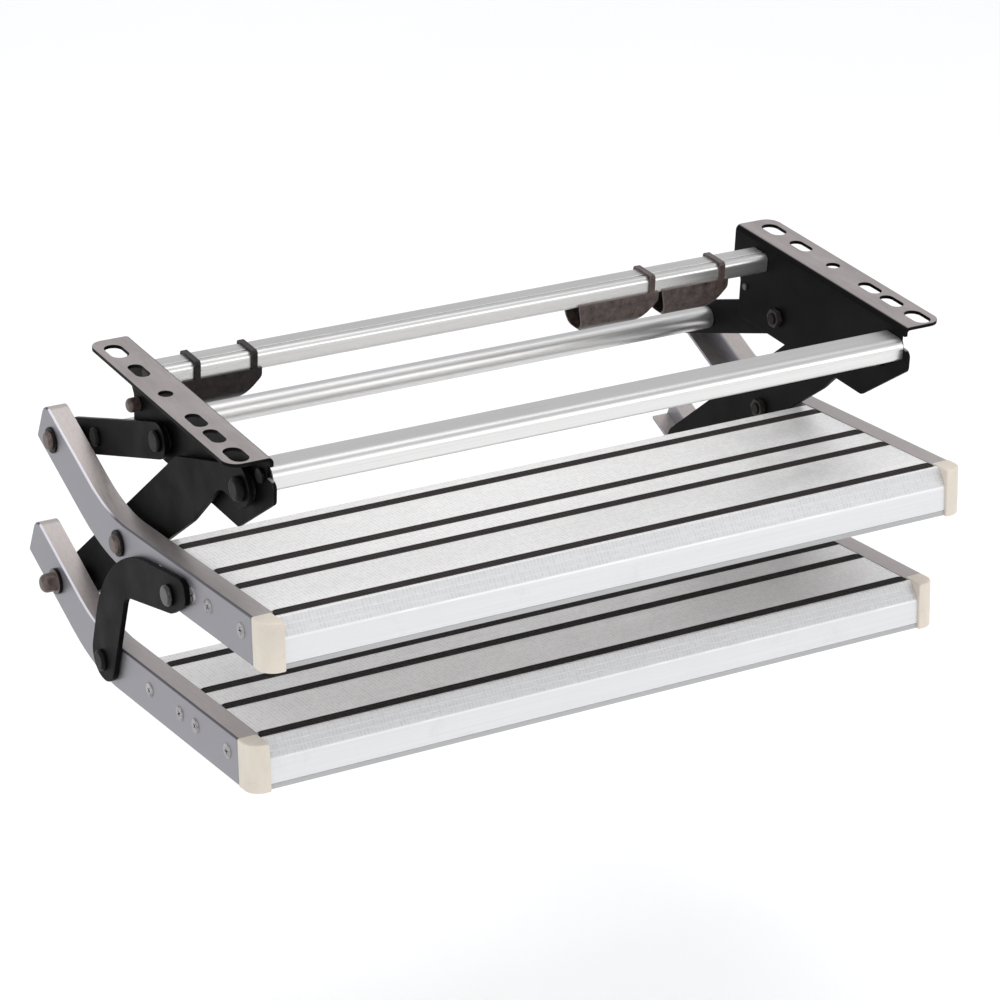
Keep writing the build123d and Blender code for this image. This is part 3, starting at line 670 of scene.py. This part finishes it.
def brushed(name, base, stretch, rough, metallic, flange=None, front=None):
    """Aluminium with fine streaks along one axis, faint stains and bright rubbed edges; where
    asked, a painted reflection on the flanges, a painted shade line and a painted highlight along
    the rounded corners, and a painted highlight on the front faces.
    """
    tree = fresh(name)
    streaks = grain(tree, scale=60.0, detail=4.0, roughness=0.6, stretch=stretch)
    clouds = grain(tree, scale=9.0, detail=4.0)
    tone = ramp(tree, streaks, low=0.3, high=0.7)
    body = blend(tree, tone, shade(base, 0.91), shade(base, 1.045))
    stains = ramp(tree, clouds, low=0.45, high=0.72, end=0.35)
    body = blend(tree, stains, body, shade(base, 0.86))
    # Faces that don't look sideways take the flange colour: a painted reflection.
    if flange:
        side = facing_side(tree)
        flange_reflection = blend(tree, tone, shade(flange, 0.9), shade(flange, 1.1))
        body = blend(tree, side, flange_reflection, body)
        # Along the rounded corners between web and flanges: a painted shade line where they turn
        # to the top, and a painted highlight where they also lean forward.
        turned, corner_highlight = corners(tree)
        body = blend(tree, turned, body, shade(base, 0.40))
        body = blend(tree, corner_highlight, body, shade(base, 2.8))
    # Faces that look forward take the brighter front colour: a painted highlight.
    if front:
        ahead = facing_front(tree)
        bright = blend(tree, tone, shade(front, 0.93), shade(front, 1.04))
        body = blend(tree, ahead, body, bright)
    turns = edges(tree, radius=0.0008)
    rubs = grain(tree, scale=60.0, detail=3.0)
    worn = times(tree, turns, ramp(tree, rubs, low=0.35, high=0.6, start=0.2, end=0.8))
    body = blend(tree, worn, body, shade(base, 1.4))
    dull = ramp(tree, streaks, low=0.25, high=0.75, start=rough - 0.07, end=rough + 0.09)
    pits = grain(tree, scale=520.0, detail=2.0)
    normal = bumped(tree, [(streaks, 0.05, SHALLOW), (pits, 0.04, SHALLOW)])
    finish(name, tree, body, dull, normal, metallic)


def tread(name, base, front):
    """Pale anodised plank: fine cross ticks, drawing streaks and shoe scuffs, with painted shade
    on its front and sloping faces.
    """
    tree = fresh(name)
    place = add(tree, "TexCoord").outputs["Object"]
    ticks = add(
        tree, "TexWave",
        {"Vector": place, "Scale": 98.0, "Distortion": 0.5, "Detail": 1.0, "Detail Scale": 0.6},
        wave_type="BANDS", bands_direction="X", wave_profile="SIN",
    ).outputs["Fac"]
    gaps = ramp(tree, grain(tree, scale=240.0, detail=3.0), low=0.3, high=0.6)
    broken = times(tree, ticks, gaps)
    broken = times(tree, broken, facing_up(tree, low=0.45, high=0.6))
    streaks = grain(tree, scale=60.0, detail=4.0, roughness=0.6, stretch=ALONG_PLANK)
    lines = ramp(tree, streaks, low=0.3, high=0.7)
    top = blend(tree, lines, shade(base, 0.95), shade(base, 1.04))
    # Faces that look forward take the nosing colour: partly its smoother finish, partly painted
    # shade. Sloping faces take a darker copy of it: painted shade.
    ahead = facing_front(tree)
    body = blend(tree, ahead, top, blend(tree, lines, shade(front, 0.97), shade(front, 1.04)))
    slope_shade = blend(tree, lines, shade(front, 0.84), shade(front, 0.92))
    body = blend(tree, facing_up(tree, low=0.45, high=0.6), body, slope_shade)
    flat = facing_up(tree, low=0.9, high=0.98)
    body = blend(tree, flat, body, top)
    # Ticks and scuffs take a lighter copy on flat tops and a darker one elsewhere: painted shade
    # off the tops.
    tick = blend(tree, flat, shade(front, 0.74), shade(base, 0.80))
    body = blend(tree, ramp(tree, broken, low=0.25, high=0.9, end=0.7), body, tick)
    rubs = grain(tree, scale=26.0, detail=6.0, roughness=0.75)
    scuffs = ramp(tree, rubs, low=0.56, high=0.72, end=0.35)
    body = blend(tree, scuffs, body, blend(tree, flat, shade(front, 0.80), shade(base, 0.84)))
    worn = edges(tree, radius=0.0010)
    body = blend(tree, times(tree, worn, 0.6), body, RUBBED_ALUMINIUM)
    sheen = grain(tree, scale=40.0, detail=4.0)
    dull = ramp(tree, sheen, low=0.3, high=0.7, start=0.36, end=0.52)
    normal = bumped(tree, [(broken, 0.22, DEEP), (streaks, 0.06, SHALLOW)])
    finish(name, tree, body, dull, normal, metallic=0.35)


def rubber(name, base):
    """Matt rubber: fine pores and grey dust in its grooves."""
    tree = fresh(name)
    pores = grain(tree, scale=800.0, detail=3.0, roughness=0.7)
    drifts = grain(tree, scale=45.0, detail=6.0, roughness=0.7)
    dust = ramp(tree, drifts, low=0.45, high=0.75, end=0.55)
    body = blend(tree, dust, base, shade(base, 3.6))
    body = blend(tree, ramp(tree, pores, low=0.3, high=0.7), shade(base, 0.6), body)
    dull = ramp(tree, pores, low=0.3, high=0.7, start=0.62, end=0.85)
    finish(name, tree, body, dull, bumped(tree, [(pores, 0.35, SHALLOW)]))


def plastic(name, base):
    """Ivory moulded plastic: faint flow clouds, fine spark texture and grubby corners."""
    tree = fresh(name)
    flow = grain(tree, scale=28.0, detail=3.0, stretch=ALONG_CAP, distortion=0.8)
    clouds = ramp(tree, flow, low=0.3, high=0.7)
    body = blend(tree, clouds, shade(base, 0.94), shade(base, 1.06))
    smears = grain(tree, scale=120.0, detail=5.0, roughness=0.7)
    grubby = ramp(tree, smears, low=0.55, high=0.78, end=0.3)
    body = blend(tree, grubby, body, GRIME)
    spark = grain(tree, scale=900.0, detail=2.0)
    dull = ramp(tree, flow, low=0.3, high=0.7, start=0.38, end=0.5)
    finish(
        name, tree, body, dull, bumped(tree, [(spark, 0.10, SHALLOW)]),
        Subsurface_Weight=0.12, Subsurface_Scale=0.01,
    )


def plated(name, base, rough, metallic, shine):
    """Plated steel: mottled colour, turning marks and bright corners."""
    tree = fresh(name)
    mottle = grain(tree, scale=150.0, detail=4.0, roughness=0.6)
    patches = ramp(tree, mottle, low=0.35, high=0.68)
    body = blend(tree, patches, shade(base, 0.6), shade(base, 1.7))
    spots = grain(tree, scale=70.0, detail=6.0, roughness=0.7)
    rust = ramp(tree, spots, low=0.6, high=0.74, end=0.35)
    rusty = tuple(part * tint for part, tint in zip(base, RUST_TINT))
    body = blend(tree, rust, body, rusty)
    worn = edges(tree, radius=0.0009)
    body = blend(tree, times(tree, worn, 0.7), body, shade(base, 2.8))
    dull = ramp(tree, mottle, low=0.3, high=0.7, start=rough - 0.08, end=rough + 0.12)
    normal = bumped(tree, [(mottle, 0.12, SHALLOW)])
    finish(name, tree, body, dull, normal, metallic, Specular_IOR_Level=shine)


# Operators

class STEP_OT_finishes(Operator):
    """Make the finishes and give each solid of the frame its own"""

    bl_idname = "entry_step.finishes"
    bl_label = "Finishes"
    bl_options = {"REGISTER", "UNDO"}

    def execute(self, context):
        shades = context.scene.step_colours
        tones = {key: tuple(getattr(shades, key)) for key in StepColours.__annotations__}
        paint("BlackPaint", tones["paint"])
        # The brackets' up-facing flange tops get the painted reflection.
        paint("BracketPaint", tones["paint"], top=tones["flange"])
        # The rails' flanges get the painted reflection, with the painted shade line and highlight
        # along their rounded corners.
        brushed(
            "RailSatin", tones["rail"], ALONG_RAIL, rough=0.40, metallic=0.65,
            flange=tones["rail_flange"],
        )
        brushed(
            "CrossbarSatin", tones["crossbar"], ALONG_BAR, rough=0.32, metallic=0.9,
            front=tones["crossbar_front"],
        )
        tread("TreadPale", tones["tread"], tones["nosing"])
        # A darker copy of the nosing for the lip along its foot: painted shade.
        brushed("NosingLip", shade(tones["nosing"], 0.62), ALONG_BAR, rough=0.42, metallic=0.4)
        rubber("GripBrown", tones["rubber"])
        # A darker copy of the same rubber for the lower step's strips: painted shade under the
        # upper step.
        rubber("GripBlack", shade(tones["rubber"], 0.45))
        plastic("CapIvory", tones["plastic"])
        # Small steel pieces: name, colour, roughness, share of metal and shine
        for row in (
            ("ClipBrown", tones["clip"], 0.34, 0.0, 0.4),
            # The left clips' darker copy of the clip colour: painted shade.
            ("ClipBlack", shade(tones["clip"], 0.22), 0.34, 0.0, 0.2),
            ("BoltSteel", tones["bolt"], 0.38, 0.1, 0.12),
            ("BoltGloss", shade(tones["paint"], 1.8), 0.20, 0.0, 0.6),
            ("ScrewZinc", tones["zinc"], 0.30, 0.6, 0.5),
            ("BoltBrown", tones["brown"], 0.36, 0.2, 0.5),
            ("BoltBlack", shade(tones["paint"], 1.6), 0.36, 0.0, 0.09),
        ):
            plated(*row)
        for node, solid in frame["nodes"].items():
            # A solid of no kind is modelled anew further on, so any finish will do for it
            kind = kind_of(node)
            solid.data.materials.clear()
            solid.data.materials.append(finishes[kind[2] if kind else "BoltSteel"])
        return {"FINISHED"}


class STEP_OT_soften(Operator):
    """Merge a copy of each hard-edged solid and round its edges"""

    bl_idname = "entry_step.soften"
    bl_label = "Rounded Edges"
    bl_options = {"REGISTER", "UNDO"}

    def execute(self, context):
        sizes = context.scene.step_sizes
        collar = sizes.rail_reach + sizes.collar_reach
        for node, solid in frame["nodes"].items():
            kind = kind_of(node)
            if not kind:
                continue
            ending, slot, finish_name, width = kind
            piece = bpy.data.objects.new(node + "_dressed", solid.data.copy())
            piece.data.name = piece.name
            context.scene.collection.objects.link(piece)
            edit_all(piece)
            bpy.ops.mesh.remove_doubles(threshold=SAME_POINT)
            bpy.ops.mesh.dissolve_limited(angle_limit=ONE_PLANE)
            bpy.ops.object.mode_set(mode="OBJECT")
            if ending == "_rail":
                self.round_rim(piece, sizes.rail_corner)
            steps = KIND_STEPS.get(ending, EDGE_STEPS)
            angle = KIND_ANGLES.get(ending, EDGE_ANGLE)
            round_edges(piece, width * sizes.edge_share, steps, angle)
            done(piece)
            settle(piece, body_of(solid)[0], finish_name)
            if finish_name == "BoltBrown" and node != "stop_bolts":
                second_finish(piece, "BoltBlack", lambda at: abs(at.x) < collar)
            # The lip along the nosing's foot takes the darker lip finish: painted shade.
            if ending == "_plank":
                lip = in_lip(piece, node.split("_")[0], sizes.lip_height)
                second_finish(piece, "NosingLip", lip)
            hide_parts(node)
        return {"FINISHED"}

    def round_rim(self, piece, radius):
        """Rounds the rim between a rail's web and its flanges."""
        rim = web_rim(piece)
        pick(piece, lambda edge: edge.index in rim, "edges")
        bpy.ops.mesh.bevel(offset=radius, segments=RIM_STEPS, affect="EDGES", clamp_overlap=True)
        bpy.ops.mesh.select_all(action="SELECT")
        bpy.ops.mesh.dissolve_degenerate(threshold=SLIVER)
        bpy.ops.mesh.dissolve_limited(angle_limit=ONE_PLANE)
        bpy.ops.object.mode_set(mode="OBJECT")


class STEP_OT_screws(Operator):
    """Model one countersunk cross-recess screw and drive it through the rails"""

    bl_idname = "entry_step.screws"
    bl_label = "Plank Screws"
    bl_options = {"REGISTER", "UNDO"}

    def execute(self, context):
        sizes = context.scene.step_sizes
        screw = self.screw(sizes)
        for step_name, hinge in HINGES.items():
            axes = tread_frame(hinge)
            driven = []
            for side in SIDES:
                for n, place in enumerate(SCREW_PLACES):
                    turn = Matrix.Rotation(radians(SCREW_TURNS[n] * side), 4, "X")
                    flip = Matrix.Diagonal((side, 1, 1, 1))
                    spot = Matrix.Translation((0, place, sizes.screw_height))
                    driven.append(twin(screw, f"screw_{side}_{n}", axes @ spot @ flip @ turn))
            row = merged(driven, f"{step_name}_cross_screws")
            settle(row, f"{step_name}_step", "ScrewZinc")
            # The faces inside the cross recesses turn black: painted shade in the recesses.
            second_finish(row, "BoltBlack", in_recess(sizes, axes))
            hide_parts(f"{step_name}_plank_screws")
        bpy.data.objects.remove(screw)
        return {"FINISHED"}

    def screw(self, sizes):
        """One screw on the X axis, its head on a rail's outer face."""
        outer = sizes.rail_reach
        top = outer + sizes.head_height
        middle = ((outer + top) / 2, 0, 0)
        screw = disc("screw", sizes.head_radius, HEAD_SIDES, middle, sizes.head_height)
        pick(screw, lambda face: face.normal.x < -FACING)
        bpy.ops.mesh.inset(thickness=sizes.head_radius - sizes.screw_sink)
        depth = sizes.screw_sink - sizes.screw_shank
        bpy.ops.mesh.extrude_region_move(TRANSFORM_OT_translate={"value": (-depth, 0, 0)})
        share = sizes.screw_shank / sizes.screw_sink
        neck = (outer - depth, 0, 0)
        bpy.ops.transform.resize(value=(1, share, share), center_override=neck)
        bpy.ops.mesh.extrude_region_move(
            TRANSFORM_OT_translate={"value": (-sizes.screw_length, 0, 0)}
        )
        bpy.ops.mesh.bevel(
            offset=sizes.screw_shank * TIP_SHARE, segments=TIP_STEPS, affect="EDGES"
        )

        def on_top(edge):
            return all(end.x > top - SAME_POINT for end in edge_ends(screw, edge))

        pick(screw, on_top, "edges")
        bpy.ops.mesh.bevel(
            offset=sizes.head_height * DOME_SHARE, segments=DOME_STEPS, affect="EDGES"
        )
        bpy.ops.object.mode_set(mode="OBJECT")
        wide = sizes.cross_width / 2
        low = top - sizes.cross_depth
        for tall, thin in ((sizes.cross_reach, wide), (wide, sizes.cross_reach)):
            cutter = block("cross_cutter", (low, -tall, -thin), (top + depth, tall, thin))
            pick(cutter, lambda face: face.normal.x < -FACING)
            bpy.ops.transform.resize(
                value=(1, RECESS_TAPER, RECESS_TAPER), center_override=(low, 0, 0)
            )
            bpy.ops.object.mode_set(mode="OBJECT")
            cut(screw, cutter, "DIFFERENCE")
        round_edges(screw, SCREW_EDGE, steps=1, angle=FINE_ANGLE)
        done(screw)
        return screw


class STEP_OT_grips(Operator):
    """Model one ribbed rubber strip and lay four in each step's grooves"""

    bl_idname = "entry_step.grips"
    bl_label = "Grip Strips"
    bl_options = {"REGISTER", "UNDO"}

    def execute(self, context):
        sizes = context.scene.step_sizes
        strip = self.strip(sizes)
        for step_name, hinge in HINGES.items():
            axes = tread_frame(hinge)
            laid = []
            for n, place in enumerate(STRIP_PLACES):
                spot = Matrix.Translation((0, place, sizes.hinge_to_strips))
                laid.append(twin(strip, f"strip_{n}", axes @ spot))
            row = merged(laid, f"{step_name}_ribbed_grips")
            # The lower step's strips take the darker copy: painted shade under the upper step.
            tone = "GripBrown" if step_name == "upper" else "GripBlack"
            settle(row, f"{step_name}_step", tone)
            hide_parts(f"{step_name}_grips")
        bpy.data.objects.remove(strip)
        return {"FINISHED"}

    def strip(self, sizes):
        """One strip along X, its underside level with the origin."""
        half = sizes.strip_width / 2
        columns = 2 * sizes.strip_ribs - 1
        step = sizes.strip_width / columns
        low = (-sizes.strip_reach, -half, 0)
        high = (sizes.strip_reach, half, sizes.strip_height - sizes.strip_rib)
        above = (sizes.strip_reach, half, sizes.strip_height + sizes.strip_rib)
        strip = block("grip_strip", low, high)

        def crosswise(edge):
            a, b = edge_ends(strip, edge)
            return abs(a.y - b.y) > half

        def on_rib(face):
            column = int((face.center.y + half) / step)
            return face.normal.z > FACING and column % 2 == 0

        pick(strip, crosswise, "edges")
        bpy.ops.mesh.subdivide(number_cuts=columns - 1)
        pick(strip, on_rib)
        bpy.ops.mesh.extrude_region_move(
            TRANSFORM_OT_translate={"value": (0, 0, sizes.strip_rib)}
        )
        bpy.ops.object.mode_set(mode="OBJECT")
        outline = block("strip_outline", low, above)

        def upright(edge):
            a, b = edge_ends(outline, edge)
            return abs(a.z - b.z) > sizes.strip_rib

        pick(outline, upright, "edges")
        bpy.ops.mesh.bevel(offset=half * END_SHARE, segments=END_STEPS, affect="EDGES")
        bpy.ops.object.mode_set(mode="OBJECT")
        cut(strip, outline, "INTERSECT")
        round_edges(strip, RIB_EDGE, steps=2, angle=FINE_ANGLE)
        done(strip)
        return strip


class STEP_OT_studio(Operator):
    """Set up the pale floor, the soft lamps and the camera"""

    bl_idname = "entry_step.studio"
    bl_label = "Studio"
    bl_options = {"REGISTER", "UNDO"}

    def execute(self, context):
        studio = context.scene.step_studio
        self.floor(studio)
        self.lamps(context, studio)
        self.camera(context, studio)
        context.scene.view_settings.view_transform = "Standard"
        return {"FINISHED"}

    def floor(self, studio):
        """A wide sheet of pale paper that glows a little."""
        deselect()
        bpy.ops.mesh.primitive_plane_add(
            size=2 * studio.floor_size, location=(0, 0, studio.floor)
        )
        sheet = named("floor")
        bpy.ops.object.transform_apply(location=True, rotation=True, scale=True)
        tree = fresh("FloorPaper")
        tone = ramp(tree, grain(tree, scale=3.0), low=0.3, high=0.7)
        base = tuple(studio.floor_colour)
        body = blend(tree, tone, shade(base, 0.985), base)
        finish(
            "FloorPaper", tree, body, roughness=0.85, Emission_Color=WHITE,
            Emission_Strength=studio.floor_glow,
        )
        sheet.data.materials.append(finishes["FloorPaper"])

    def lamps(self, context, studio):
        """The ambient light and the area lamps."""
        world = bpy.data.worlds.new("StudioAir")
        world.use_nodes = True
        air = world.node_tree.nodes["Background"]
        air.inputs["Color"].default_value = AIR_TINT
        air.inputs["Strength"].default_value = studio.sky
        context.scene.world = world
        for name, place, wide, tall, tint in LAMPS:
            light = bpy.data.lights.new(name, "AREA")
            light.shape = "RECTANGLE"
            light.size = wide
            light.size_y = tall
            light.energy = getattr(studio, name)
            light.color = tint
            holder = bpy.data.objects.new(name, light)
            context.scene.collection.objects.link(holder)
            holder.location = place
            aim = Vector(LAMP_AIM) - Vector(place)
            holder.rotation_euler = aim.to_track_quat("-Z", "Y").to_euler()

    def camera(self, context, studio):
        """The camera, turned by azimuth, elevation and roll."""
        eye = bpy.data.cameras.new("camera")
        eye.lens = studio.lens
        eye.sensor_width = SENSOR_WIDTH
        eye.clip_start = NEAREST
        eye.clip_end = FARTHEST
        holder = bpy.data.objects.new("camera", eye)
        context.scene.collection.objects.link(holder)
        turn = (
            Matrix.Rotation(studio.azimuth, 4, "Z")
            @ Matrix.Rotation(pi / 2 - studio.elevation, 4, "X")
            @ Matrix.Rotation(studio.roll, 4, "Z")
        )
        holder.matrix_world = Matrix.Translation(studio.camera_place) @ turn
        context.scene.camera = holder


class STEP_PT_panel(Panel):
    """Sizes, colours and steps of the entry step"""

    bl_idname = "STEP_PT_panel"
    bl_label = "Entry Step"
    bl_space_type = "VIEW_3D"
    bl_region_type = "UI"
    bl_category = "Entry Step"

    def draw(self, context):
        layout = self.layout
        for name, group in GROUPS.items():
            box = layout.box()
            for key in group.__annotations__:
                box.prop(getattr(context.scene, name), key)
        for operator in OPERATORS:
            layout.operator(operator.bl_idname)


GROUPS = {"step_sizes": StepSizes, "step_colours": StepColours, "step_studio": StudioSettings}
OPERATORS = (STEP_OT_finishes, STEP_OT_soften, STEP_OT_screws, STEP_OT_grips, STEP_OT_studio)


def register():
    """Registers the settings, the operators and the panel."""
    for name, group in GROUPS.items():
        bpy.utils.register_class(group)
        setattr(bpy.types.Scene, name, PointerProperty(type=group))
    for operator in OPERATORS:
        bpy.utils.register_class(operator)
    bpy.utils.register_class(STEP_PT_panel)


def unregister():
    """Removes what register added."""
    bpy.utils.unregister_class(STEP_PT_panel)
    for operator in reversed(OPERATORS):
        bpy.utils.unregister_class(operator)
    for name, group in GROUPS.items():
        delattr(bpy.types.Scene, name)
        bpy.utils.unregister_class(group)


def main():
    """Builds everything in order."""
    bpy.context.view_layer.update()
    register()
    bpy.ops.entry_step.finishes()
    bpy.ops.entry_step.soften()
    bpy.ops.entry_step.screws()
    bpy.ops.entry_step.grips()
    bpy.ops.entry_step.studio()


if __name__ == "__main__":
    main()
